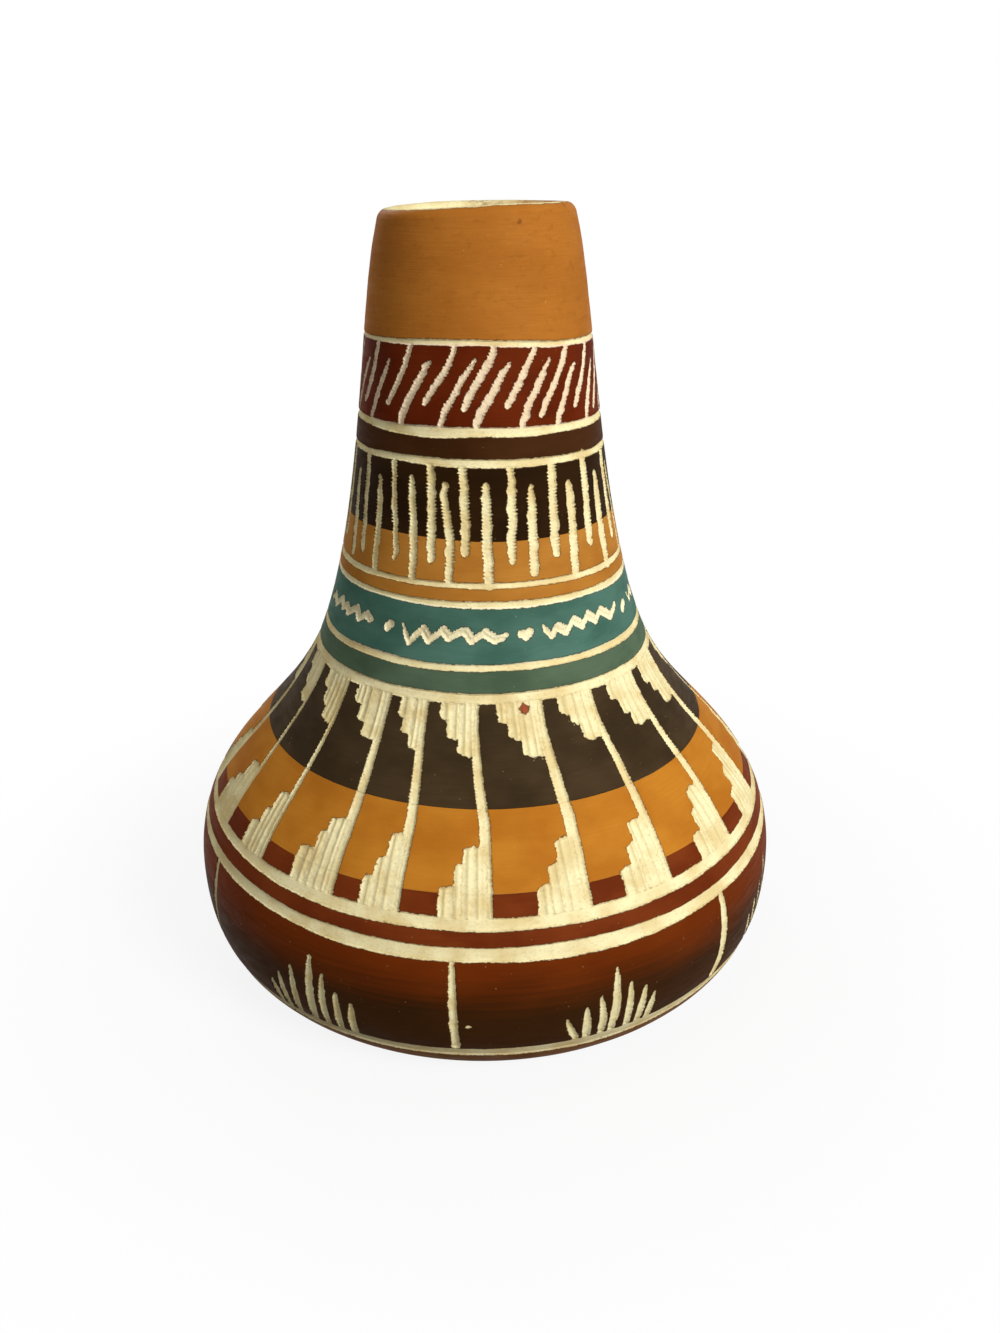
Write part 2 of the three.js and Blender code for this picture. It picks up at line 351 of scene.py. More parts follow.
# The teal band: each dot with the zigzag to its right
TEAL_MARKS = [
    ([(-88.2, 105.9), (-86.8, 106.8)],
     [(-83, 107.6), (-79, 104.8), (-76, 106.4), (-71.5, 104.8), (-66.3, 107.4), (-64.2, 105.7),
      (-61.2, 106.7), (-59.2, 105.3), (-53.6, 107.6), (-51.2, 105.3), (-47.3, 107.1), (-44.6, 106)]),
    ([(-36, 106), (-34.6, 107.1)],
     [(-29.2, 107.8), (-27.8, 105.6), (-26.3, 103.5), (-24.2, 105.3), (-21.7, 107), (-19.1, 104.4),
      (-14.3, 107.2), (-11.9, 105.4), (-8, 107), (-6, 107), (-3.9, 104.9), (0.4, 106.8), (4.2, 105),
      (7.4, 105.6)]),
    ([(14.5, 106.3), (15.4, 105.6), (16.8, 106.7)],
     [(22.1, 107.7), (23, 106.4), (25, 104.7), (27, 106.5), (30.8, 104.7), (34.2, 107.1), (38.2, 105.1),
      (41, 107.2), (45, 105.2), (48.3, 107.1), (53.8, 104.4), (57.6, 105.9)]),
    ([(66.3, 105.5), (64.4, 104.4)],
     [(72.5, 106.8), (75, 104.3), (78, 106), (82, 103.8), (86, 106.4), (89, 104.6), (93, 107), (97, 105),
      (102, 107.2), (107, 105.2)]),
]
# Stepped frets: half of the line's width, the line's right edge at four heights, then for the
# hanging and for the standing fret the left edges of the steps and their ends
FRET_EDGE_HEIGHTS = [85, 75, 67, 55]
FRETS = [
    (0.7, [-64.3, -64.5, -63.9, -63.2],
     [(-76.8, 86.8), (-73.8, 83.5), (-70.9, 80.3)], [(-73.6, 57), (-71.6, 59.6), (-69.4, 63.9)]),
    (0.75, [-47.4, -47.4, -47.4, -47.5],
     [(-59.7, 86.6), (-57, 83.4), (-53.9, 80.4)], [(-55.5, 56.3), (-53.1, 60.1), (-51.8, 64.1)]),
    (1.25, [-29.4, -29.1, -28.8, -28.8],
     [(-43, 86.8), (-39.8, 83.6), (-36.6, 80.6)], [(-39.3, 57.4), (-36, 61.4), (-34.5, 64.4)]),
    (1.2, [-16.6, -15.7, -15.1, -15.5],
     [(-25.9, 86.6), (-23.9, 83.1), (-21.2, 80.3)], [(-23.5, 56), (-21.6, 59.8), (-19.9, 64.3)]),
    (1.2, [-1.2, -0.15, 1.05, 1.2],
     [(-12.9, 87.2), (-10.5, 83.3), (-7.2, 80)], [(-8.7, 55.7), (-5.9, 60.1), (-4.4, 63)]),
    (1.4, [18.4, 19.4, 19.9, 19.3],
     [(4, 86.6), (7, 83), (10.6, 79.3)], [(9.3, 55.3), (12, 59.2), (14.2, 63.4)]),
    (1.15, [36, 37.2, 37.2, 36.6],
     [(23.1, 86.6), (26, 84), (28.8, 80.3)], [(26.1, 55.5), (28.9, 59.4), (31.1, 63.2)]),
    (1.2, [56.4, 56.6, 57, 55.9],
     [(42, 86.2), (44.9, 82.4), (47.3, 79)], [(45.1, 55.5), (48.1, 59.6), (50.1, 63.2)]),
    (1.5, [75.8, 76, 76.4, 75],
     [(61, 84.9), (63.7, 82), (65.8, 78.3)], [(63.9, 56), (67, 60.2), (69.7, 64.4)]),
]
# Uprights of the belly band, from the foot ring up, and blades of the plant fans between them
BELLY_LINES = [
    (1.15, [(-63.5, 15), (-62.5, 28), (-61.6, 36), (-61.5, 40.5)]),
    (0.98, [(-5.4, 15), (-5.6, 22), (-5.7, 32), (-5.8, 39.5)]),
    (1.4, [(46.2, 16), (47.4, 20.5), (48, 27), (47.7, 34), (47.4, 40)]),
]
FANS = [
    [(1.1, [(-40.6, 13.2), (-41.2, 16.5), (-41.9, 20)]), (1.1, [(-38.6, 13), (-39.2, 20), (-39.6, 24.1)]),
     (1.15, [(-36, 13), (-36.1, 21), (-36.3, 28.4)]), (1.3, [(-32.4, 13), (-32.2, 24), (-31.7, 34.4)]),
     (1.1, [(-29.5, 13), (-29.6, 23), (-29.2, 30.2)]), (1.1, [(-26.7, 13.2), (-26.7, 20), (-26.7, 25.6)]),
     (1.2, [(-23.9, 13.4), (-23.9, 19), (-23.7, 23.6)])],
    [(0.9, [(15.5, 14), (14.3, 18), (13.5, 21.8)]), (1.2, [(17.3, 14), (17.1, 19.5), (16.9, 24.4)]),
     (1.05, [(20, 14), (20, 21), (19.5, 27)]), (1.2, [(21.9, 14), (22.4, 24), (22.3, 34.1)]),
     (1.1, [(25, 14), (25.1, 22), (25.1, 28.8)]), (1.15, [(27.2, 14), (27.6, 20), (28.1, 26)]),
     (1.05, [(29.2, 14), (29.6, 18.5), (30.1, 22.8)])],
    [(1.1, [(60.2, 14.5), (59.6, 20), (59.3, 24)]), (1.15, [(62.8, 14.5), (62.3, 21), (62, 27)]),
     (1.1, [(65.6, 14.5), (65.2, 23), (65, 29.8)]), (1.25, [(69, 14.5), (69, 25), (68.9, 34.8)]),
     (1.1, [(71.9, 14.5), (72, 22), (72.1, 30)]), (1.1, [(74.8, 14.5), (75, 20), (75.2, 26)]),
     (1.1, [(77.4, 14.5), (77.8, 19), (78, 23.4)])],
]

# A flake of slip that has come away from the belly
WHITE_CHIP = [(-3.3, 22.1), (-2.9, 22.1)]

# How a tool's width changes from the ring to the end of a stroke
EVEN_PULL = [0.9, 0.95, 1, 1, 0.9]
TAPERED_PULL = [0.9, 1, 1, 0.95, 0.8, 0.4]
BLUNT_PULL = [0.95, 1, 1, 1, 0.95, 0.62]
BLADE_PULL = [0.8, 0.95, 1, 0.9, 0.7, 0.28]
BELLY_PULL = [1, 1, 1, 0.95, 0.6]
FRET_LINE_PULL = np.array([0.9, 0.85, 0.95, 1.1, 1.05, 1.05])
# Half widths of a zigzag and of the shallow second pull beside it, and that pull's depth
HALF_ZIGZAG = 0.72
HALF_ECHO = 0.68
ECHO_DEPTH = 0.38
# How far a cut is carried into the ring that it begins at, and how near to it a cut has to come
RING_OVERRUN = 0.6
START_REACH = 1.2
# Length of one tooth that the tool leaves when it chatters
TOOTH_LENGTH = 0.9


def stray_round(strays):
    """One edge's stray for each degree from the back round to the back, with soft bends."""
    knots = [0, 0, strays[0]] + strays + [strays[-1], 0, 0]
    curve = np.interp(np.arange(-180, 181), STRAY_ANGLES, knots)
    soft = np.hanning(21)
    return np.convolve(curve, soft / soft.sum(), "same")


# The edges beside the rings: the band, 0 for its lower or 1 for its upper edge, and the strays
EDGES = [
    (node, end, strays)
    for node, *_, lower, upper in BANDS
    for end, strays in enumerate((lower, upper))
    if strays
]
# The strays as a row for each edge from the foot up, with a level row below and one above
LEVEL = np.zeros(361)
STRAYS = np.array([LEVEL] + [stray_round(strays) for *_, strays in EDGES] + [LEVEL])
STRAY_LENGTHS = [
    -LEVEL_BELOW_FOOT,
    *(band_lengths(node)[end] for node, end, _ in EDGES),
    MOUTH_LENGTH - LEVEL_BELOW_MOUTH,
]


def round_noise(angle, bumps, along, seed):
    """Noise on a circle: the more bumps, the finer it is."""
    turn = np.radians(angle)
    return noise(np.cos(turn) * bumps, np.sin(turn) * bumps, along, seed)


def ring_lean(angle, length):
    """How far the hand-cut rings stray along the outline from level, in millimetres."""
    row = np.interp(length, STRAY_LENGTHS, np.arange(len(STRAY_LENGTHS)))
    low = np.minimum(row.astype(int), len(STRAY_LENGTHS) - 2)
    column = (angle + 180) % 360
    left = column.astype(int)
    up, along = row - low, column - left
    below = STRAYS[low, left] * (1 - along) + STRAYS[low, left + 1] * along
    above = STRAYS[low + 1, left] * (1 - along) + STRAYS[low + 1, left + 1] * along
    return below * (1 - up) + above * up + 0.07 * round_noise(angle, 4, length / 20, 5)


def level_length(angle, height):
    """The arc length that the strays carry to a given height."""
    length = length_at(height)
    return length - ring_lean(angle, length)


class Cut:
    """One pull of the tool: a line of points with a half width at each."""

    wobble = 0.04
    count = 0

    def __init__(self, points, widths, teeth=0.1, depth=STROKE_DEPTH):
        self.points = np.array(points, float)
        self.lengths = level_length(self.points[:, 0], self.points[:, 1])
        self.widths = np.broadcast_to(np.array(widths, float), len(self.points))
        self.teeth = teeth
        self.depth = depth
        self.reach = self.widths.max() + 1
        Cut.count += 1
        self.seed = Cut.count * 3.7

    def turned(self, shift):
        """The same cut further round the vase, with teeth of its own."""
        twin = copy.copy(self)
        twin.points = self.points + [shift, 0]
        twin.seed = self.seed + 411.3
        return twin

    def start_at(self, length):
        """Lets the cut begin at a ring, if it comes near to it."""
        if abs(self.lengths[0] - length) < START_REACH:
            self.lengths[0] = length
        return self

    def span(self):
        low, high = self.points[:, 0].min(), self.points[:, 0].max()
        return low, high, self.lengths.min(), self.lengths.max()

    def tooth(self, along, side):
        """How far the chattering tool bites past the stroke's edge, or falls short of it."""
        row = side * 7.3 + self.seed
        drift = 0.3 * noise(along / 1.6, row, 0, 41)
        point = np.abs(2 * ((along / TOOTH_LENGTH + drift + side * 0.2) % 1) - 1) ** 1.6
        size = 0.85 + 0.65 * noise(along / 0.9, row, 0, 42)
        return self.teeth * (point * size - 0.3)

    def relief(self, angle):
        """How far the floor of the cut rises above its depth."""
        return 0

    def distance(self, angle, length, radius):
        """Distance to the edge of the cut, below zero inside it."""
        across_scale = radius * math.pi / 180
        best = np.full(angle.shape, 9.0)
        passed = 0
        for i in range(len(self.points) - 1):
            ax, bx = self.points[i, 0] * across_scale, self.points[i + 1, 0] * across_scale
            ay, by = self.lengths[i], self.lengths[i + 1]
            px, py = angle * across_scale - ax, length - ay
            dx, dy = bx - ax, by - ay
            size = np.hypot(dx, dy) + 1e-6
            t = np.clip((px * dx + py * dy) / size**2, 0, 1)
            gap = np.hypot(px - t * dx, py - t * dy)
            side = np.sign(px * dy - py * dx)
            width = self.widths[i] * (1 - t) + self.widths[i + 1] * t
            best = np.minimum(best, gap - width - self.tooth(passed + t * size, side))
            passed = passed + size
        return best


class Step(Cut):
    """One step of a fret: flutes side by side that reach from a ring to a slanted end."""

    corner = 0.7
    wobble = 0.36

    def __init__(self, left, right, root, end):
        super().__init__([(left, end), (right, end)], STEP_SLOPE * STEP_SLANT)
        self.lengths[1] = root
        self.flute = math.degrees(FLUTE_WIDTH / line_at(self.lengths[0])[0])

    def distance(self, angle, length, radius):
        across = np.radians(angle - self.points[0, 0]) * radius
        width = np.radians(self.points[1, 0] - self.points[0, 0]) * radius
        end, root = self.lengths
        pull = (length - root) * np.sign(end - root)
        full = abs(end - root) + STEP_SLOPE * (np.clip(across, 0, STEP_SLANT) - STEP_SLANT / 2)
        x = np.maximum(-across, across - width) + self.corner
        y = np.maximum(-pull, pull - full) + self.corner
        outside = np.hypot(np.maximum(x, 0), np.maximum(y, 0))
        return outside + np.minimum(np.maximum(x, y), 0) - self.corner

    def relief(self, angle):
        """The ridges that stand between one flute and the next."""
        right = self.points[1, 0]
        across = (right - angle) / self.flute
        sway = 0.4 * noise(across * 0.8, right, 0, 43)
        return RIDGE_HEIGHT * np.abs(2 * ((across + sway) % 1) - 1) ** 2.2


def all_round(groups, count):
    """The groups of cuts that the photograph shows, then as many more as fill the back."""
    first, last = groups[0][0].points[0, 0], groups[-1][0].points[0, 0]
    step = (first + 360 - last) / (count + 1)
    more = []
    for index in range(1, count + 1):
        model = groups[(2 * index + 1) % len(groups)]
        shift = last + step * index + RANDOM.uniform(-0.8, 0.8) - model[0].points[0, 0]
        more.append([cut.turned(shift) for cut in model])
    return [cut for group in groups + more for cut in group]


def stroke(row, ring_length, pull, teeth):
    """The cut of a row of half width and points, which begins at a ring."""
    half, points = row
    path = spline(np.array(points, float))
    path = np.vstack([path[:-4:8], path[-1]])
    share = np.linspace(0, 1, len(path))
    widths = half * np.interp(share, np.linspace(0, 1, len(pull)), pull)
    return Cut(path, widths, teeth).start_at(ring_length)


def strokes(rows, ring_length, pull, teeth, count):
    return all_round([[stroke(row, ring_length, pull, teeth)] for row in rows], count)


def within_rings(lowest, highest):
    """Arc lengths just inside of the rings below and above a run of bands."""
    return band_lengths(lowest)[0] - RING_OVERRUN, band_lengths(highest)[1] + RING_OVERRUN


def slant_cuts():
    foot, top = within_rings("stroke_band_slip_red", "stroke_band_slip_red")
    return (strokes(HANGING_SLANTS, top, EVEN_PULL, 0.4, 10)
            + strokes(STANDING_SLANTS, foot, TAPERED_PULL, 0.46, 10))


def upright_cuts():
    foot, top = within_rings("stroke_band_slip_tan", "stroke_band_slip_black")
    return (strokes(HANGING_STROKES, top, EVEN_PULL, 0.58, 11)
            + strokes(STANDING_STROKES, foot, BLUNT_PULL, 0.6, 11))


def teal_cuts():
    groups = []
    for dot, turns in TEAL_MARKS:
        echo = [(angle + 1.0, height + 0.8) for angle, height in turns[2:]]
        widths = [0.3] + [HALF_ZIGZAG] * (len(turns) - 2) + [0.5]
        pulls = [Cut(echo, HALF_ECHO, 0.3, ECHO_DEPTH), Cut(turns, widths, 0.22), Cut(dot, 1.1, 0.35)]
        groups.append(pulls)
    return all_round(groups, 3)


def fret_cuts():
    foot, top = within_rings("fret_band_slip_rust", "fret_band_slip_black")
    groups = []
    for half, edges, hanging, standing in FRETS:
        middles = []
        for edge, height in zip(edges, FRET_EDGE_HEIGHTS):
            radius = line_at(length_at(height))[0]
            middles.append((edge - math.degrees(half / radius), height))
        points = [middles[0], *middles, middles[-1]]
        line = Cut(points, half * FRET_LINE_PULL, 0.32)
        line.lengths[[0, -1]] = top, foot
        upper = [Step(left, middles[0][0], top, end) for left, end in hanging]
        lower = [Step(left, middles[-1][0], foot, end) for left, end in standing]
        groups.append([line] + upper + lower)
    return all_round(groups, 11)


def belly_cuts():
    foot, top = within_rings("belly_slip_red_to_black", "belly_slip_red_to_black")
    lines = [[stroke(row, foot, BELLY_PULL, 0.36)] for row in BELLY_LINES]
    for (line,) in lines:
        line.lengths[-1] = top
    fans = [[stroke(row, foot, BLADE_PULL, 0.3) for row in blades] for blades in FANS]
    chip = Cut(WHITE_CHIP, 0.45)
    return all_round(lines, 4) + all_round(fans, 4) + [chip]


CUTS = slant_cuts() + upright_cuts() + teal_cuts() + fret_cuts() + belly_cuts()


def rim_lift(turn, length):
    """How far the hand-trimmed rim stands above or below level, in millimetres."""
    lift = RIM_MEAN + RIM_SIDE * np.sin(turn) + RIM_FRONT * np.cos(turn)
    lift = lift + RIM_TWIST * np.sin(2 * turn) + RIM_PINCH * np.cos(2 * turn)
    run = np.where(length < MOUTH_LENGTH, MOUTH_LENGTH - length, length - LIP_END)
    return lift * smooth_step(1 - run / RIM_REACH)


def place(angle, length, depth):
    """Points in metres at an angle and arc length, sunk below the outside surface."""
    turn = np.radians(angle)
    length = length + ring_lean(angle, length)
    radius, height, out, up = line_at(length)
    radius = radius - depth * out
    height = height - depth * up + rim_lift(turn, length)
    return np.stack([radius * np.sin(turn), -radius * np.cos(turn), height], -1) * MM


class Field:
    """Distance to the nearest cut edge and depth of cut over one band's grid."""

    def __init__(self, columns, lengths):
        self.angle, self.length = np.meshgrid(around(columns), lengths)
        self.radius = line_at(self.length)[0]
        turn = np.radians(self.angle)
        self.space = (self.radius * np.sin(turn), self.radius * np.cos(turn), self.length)
        self.edge = np.full(self.angle.shape, 9.0)
        self.depth = np.zeros(self.angle.shape)
        self.ridge_shade = np.zeros(self.angle.shape)
        self.chatter = self.noise(0.9, 0.65, 11) + 0.5 * self.noise(0.45, 0.4, 12)
        self.waver = self.noise(6, 5, 13)

    def noise(self, across, along, seed):
        """Noise whose bumps are that many millimetres across and along the skin."""
        x, y, z = self.space
        return noise(x / across, y / across, z / along, seed)

    def cut(self, distance, depth, wobble, where=..., relief=0):
        """Sinks a cut into the slip, steep at its edge, and marks for painted shade the ridges that it
        leaves and its wall where it crosses bare clay.
        """
        distance = distance + wobble * self.chatter[where]
        bare_before = self.edge[where] < -0.12
        self.edge[where] = np.minimum(self.edge[where], distance)
        bowl = smooth_step(-distance / WALL_RUN) * (0.72 + 0.28 * smooth_step(-distance / 0.9))
        sunk = (depth - relief) * bowl
        # Mask of painted shade: the ridges between flutes, and a cut's wall where it crosses clay already
        # bare
        ridge_shade = np.where(sunk > self.depth[where], relief / RIDGE_HEIGHT, self.ridge_shade[where])
        self.ridge_shade[where] = np.maximum(ridge_shade, bare_before * smooth_step(1 - np.abs(distance) / 0.3))
        self.depth[where] = np.maximum(self.depth[where], sunk)

    def cut_ring(self, edge_length, side):
        """Cuts away the slip beyond a ring's edge: side is 1 for the upper edge of a band."""
        distance = (edge_length - self.length) * side + 0.12 * self.waver
        self.cut(distance, RING_DEPTH, 0.11)

    def cut_all(self, cuts):
        columns = self.angle[0]
        rows = self.length[:, 0]
        step = columns[1] - columns[0]
        for item in cuts:
            low, high, start, end = item.span()
            inside = np.where((rows > start - item.reach) & (rows < end + item.reach))[0]
            if len(inside) == 0:
                continue
            margin = math.degrees(item.reach / self.radius[inside].min())
            first = math.floor((low - margin - columns[0]) / step)
            last = math.ceil((high + margin - columns[0]) / step)
            run = np.arange(first, last + 1)
            where = np.ix_(inside, run % len(columns))
            angle = np.broadcast_to(columns[0] + run * step, (len(inside), len(run)))
            distance = item.distance(angle, self.length[where], self.radius[where])
            self.cut(distance, item.depth, item.wobble, where, item.relief(angle))

    def finish(self):
        """Adds the tool marks in the cuts and the slow unevenness of the slip."""
        floor = smooth_step(-self.edge / WALL_RUN)
        tool_marks = 0.075 * self.chatter + 0.05 * self.noise(1.8, 1.4, 14)
        rounded_edge = 0.03 * smooth_step(1 - self.edge / 0.25)
        self.depth += floor * tool_marks
        self.depth += (1 - floor) * (0.035 * self.noise(9, 4, 15) + rounded_edge)


# Meshes


def shell_mesh(name, grid, strips, attributes, closed):
    """A mesh from a grid of points: its columns run round the vase, its rows along the skin."""
    rows, columns = grid.shape[:2]
    row = np.arange(rows if closed else rows - 1)[:, None]
    column = np.arange(columns)[None]
    above = (row + 1) % rows
    after = (column + 1) % columns
    faces = np.stack([
        row * columns + column, row * columns + after,
        above * columns + after, above * columns + column,
    ], -1).reshape(-1, 4)
    mesh = bpy.data.meshes.new(name)
    mesh.vertices.add(rows * columns)
    mesh.vertices.foreach_set("co", grid.reshape(-1).astype(np.float32))
    mesh.loops.add(faces.size)
    mesh.loops.foreach_set("vertex_index", faces.reshape(-1).astype(np.int32))
    mesh.polygons.add(len(faces))
    mesh.polygons.foreach_set("loop_start", np.arange(0, faces.size, 4, dtype=np.int32))
    mesh.update(calc_edges=True)
    for key, values in attributes.items():
        layer = mesh.attributes.new(key, "FLOAT", "POINT")
        layer.data.foreach_set("value", values.reshape(-1).astype(np.float32))
    add_bake_map(mesh, len(row), columns, strips)
    mesh.polygons.foreach_set("use_smooth", np.ones(len(faces), bool))
    return mesh


def add_bake_map(mesh, rows, columns, strips):
    """Lays the shell out as strips, one above another, so that it fills a square map."""
    per_strip = -(-columns // strips)
    row = np.repeat(np.arange(rows), columns)
    column = np.tile(np.arange(columns), rows)
    strip = column // per_strip
    left = (column - strip * per_strip) / per_strip
    right = left + 1 / per_strip
    low = row / rows
    high = (row + 1) / rows
    corners = np.stack([left, low, right, low, right, high, left, high], 1).reshape(-1, 4, 2)
    height = 1 / strips
    corners[:, :, 0] = MAP_MARGIN + corners[:, :, 0] * (1 - 2 * MAP_MARGIN)
    corners[:, :, 1] = strip[:, None] * height + MAP_MARGIN + corners[:, :, 1] * (height - 2 * MAP_MARGIN)
    layer = mesh.uv_layers.new(name="OFBake")
    layer.data.foreach_set("uv", corners.reshape(-1).astype(np.float32))


def around(columns):
    """Angles of a shell's columns, from the back round to the back again."""
    return np.arange(columns) * 360 / columns - 180


def band_rows(low, high, spacing, fine_low, fine_high):
    """Arc lengths of a band's rows, closer together where a ring's edge is cut."""
    rows = list(np.linspace(low, high, max(2, round((high - low) / spacing)) + 1))
    fine = np.arange(0, 1.0, 0.125)
    if fine_low:
        rows += list(low + fine)
    if fine_high:
        rows += list(high - fine)
    rows = np.unique(np.round(rows, 4))
    rows = rows[np.r_[True, np.diff(rows) > 0.06]]
    return np.r_[rows[0], rows[0] + EDGE_ROW, rows[1:-1], rows[-1] - EDGE_ROW, rows[-1]]


def lip_part(length):
    """How far over the lip a place is: 0 at its outside, 1 where the slip ends inside."""
    return np.clip((length - MOUTH_LENGTH) / (LIP_SLIP_END - MOUTH_LENGTH), 0, 1)


def clay_depth(length):
    """Depth of the clay under the slip, which tapers to the surface over the lip."""
    return CLAY_DEPTH + (LIP_CLAY_DEPTH - CLAY_DEPTH) * lip_part(length)


def closed_mesh(node, field, strips):
    """A mesh of a band's cut outside, closed with a plain back that just clears the clay."""
    front = place(field.angle, field.length, field.depth)
    rows = field.length[:, 0]
    back_rows = rows[np.linspace(0, len(rows) - 1, BACK_ROWS).astype(int)][::-1]
    angle, length = np.meshgrid(field.angle[0], back_rows)
    back = place(angle, length, clay_depth(length) - CLAY_GAP)
    marks = {
        "edge": np.concatenate([field.edge, np.full(angle.shape, -1.0)]),
        "ridge_shade": np.concatenate([field.ridge_shade, np.zeros(angle.shape)]),
    }
    return shell_mesh(node, np.concatenate([front, back]), strips, marks, closed=True)


def band_mesh(node, columns, spacing, strips, on_ring, under_ring):
    low, high = band_lengths(node)
    start = low - (RING_LAP if on_ring else COLOUR_JOIN_LAP)
    end = high + (RING_LAP if under_ring else COLOUR_JOIN_LAP)
    field = Field(columns, band_rows(start, end, spacing, on_ring, under_ring))
    if on_ring:
        field.cut_ring(low, -1)
    if under_ring:
        field.cut_ring(high, 1)
    field.cut_all(CUTS)
    field.finish()
    return closed_mesh(node, field, strips)


def foot_mesh(node, columns, spacing, strips):
    """The tan foot, carried round under the belly until it is just clear of the table."""
    low, high = band_lengths(node)
    start = low - FOOT_SLIP_RUN
    field = Field(columns, band_rows(start, high + RING_LAP, spacing, True, True))
    field.cut_ring(high, 1)
    field.finish()
    field.depth += 0.25 * smooth_step(1 - (field.length - start) / 0.8)
    return closed_mesh(node, field, strips)


def neck_mesh(node, columns, spacing, strips):
    """The tan neck, carried over the lip, where it thins out to nothing."""
    low, _ = band_lengths(node)
    rows = np.r_[band_rows(low - RING_LAP, MOUTH_LENGTH, spacing, True, False)[:-1],
                 np.linspace(MOUTH_LENGTH, LIP_SLIP_END, 18)]
    field = Field(columns, rows)
    field.cut_ring(low, -1)
    field.finish()
    wander = 0.35 * round_noise(field.angle, 5, 0, 21) + 0.2 * round_noise(field.angle, 17, 0, 22)
    behind_right = smooth_step(1 - np.abs(field.angle - LIP_RUN_ANGLE) / 75)
    run = LIP_COLOUR_RUN + LIP_EXTRA_RUN * behind_right + wander
    field.edge = np.minimum(field.edge, MOUTH_LENGTH + run - field.length)
    return closed_mesh(node, field, strips)


def ring_rows(low, high):
    """Arc lengths and depths across an etched ring, or in the middle of a join of two colours."""
    if high - low < 1:
        return [((low + high) / 2, CLAY_DEPTH)]
    rows = [(low + 0.15, CLAY_DEPTH), (high - 0.15, CLAY_DEPTH)]
    for length in np.linspace(low + 0.3, high - 0.3, max(4, round((high - low) / 0.28))):
        inside = min(length - low, high - length)
        rows.append((length, RING_DEPTH * (0.86 + 0.14 * min(inside / 0.9, 1))))
    return rows


def body_rows_and_depths():
    """Arc lengths along the whole skin, and how deep the bare clay lies at each."""
    foot_start = band_lengths("foot_slip_tan")[0] - FOOT_SLIP_RUN
    rows = [(length, 0) for length in np.linspace(LENGTHS[0], foot_start - 0.3, 8)]
    rows += [(foot_start, 0.1), (foot_start + 0.3, CLAY_DEPTH), (0, CLAY_DEPTH)]
    for lower, upper in zip(SLIP_NODES[:-1], SLIP_NODES[1:]):
        start, low = band_lengths(lower)
        inner = np.linspace(start, low, math.ceil((low - start) / HIDDEN_ROW) + 1)[1:-1]
        rows += [(length, CLAY_DEPTH) for length in inner]
        rows += ring_rows(low, band_lengths(upper)[0])
    rows += [(length, CLAY_DEPTH) for length in np.linspace(rows[-1][0] + 4, MOUTH_LENGTH - 1, 5)]
    lip = np.linspace(MOUTH_LENGTH, LIP_SLIP_END, 12)
    rows += list(zip(lip, clay_depth(lip)))
    rows += [(length, 0) for length in np.linspace(LIP_SLIP_END + 0.3, LIP_END, 5)]
    rows += [(length, 0) for length in np.linspace(LIP_END + 2, LENGTHS[-1], 60)]
    rows.sort()
    return np.array(rows).T


def body_mesh():
    """The bare clay: the whole skin, sunk where slip covers it, with tool marks in the rings."""
    lengths, depths = body_rows_and_depths()
    field = Field(BODY_COLUMNS, lengths)
    field.edge[:] = -1
    field.depth += depths[:, None]
    ring = (field.depth > 0.2) & (field.depth < CLAY_DEPTH - 0.1)
    field.depth += ring * (0.05 * field.noise(1.3, 0.8, 31) + 0.04 * field.noise(5, 2, 32))
    inner = smooth_step((field.length - LIP_END) / 8) * smooth_step(field.radius / 8)
    field.depth += inner * 0.1 * field.noise(14, 5, 33)
    grid = place(field.angle, field.length, field.depth)
    mesh = shell_mesh("clay_body", grid, 4, {"edge": field.edge}, closed=False)
    join_poles(mesh)
    return mesh


def join_poles(mesh):
    """Joins the corners that meet on the upright axis, which closes the body."""
    work = bmesh.new()
    work.from_mesh(mesh)
    poles = [v for v in work.verts if math.hypot(v.co.x, v.co.y) < 1e-6]
    bmesh.ops.remove_doubles(work, verts=poles, dist=1e-5)
    work.to_mesh(mesh)
    work.free()


# Materials

SHEEN = 0.025
SHEEN_TINT = (1.0, 0.82, 0.6, 1)


def srgb(red, green, blue):
    """A colour written from 0 to 255 as the linear values that a shader takes."""
    values = [v / 255 for v in (red, green, blue)]
    return [v / 12.92 if v <= 0.04045 else ((v + 0.055) / 1.055) ** 2.4 for v in values] + [1]


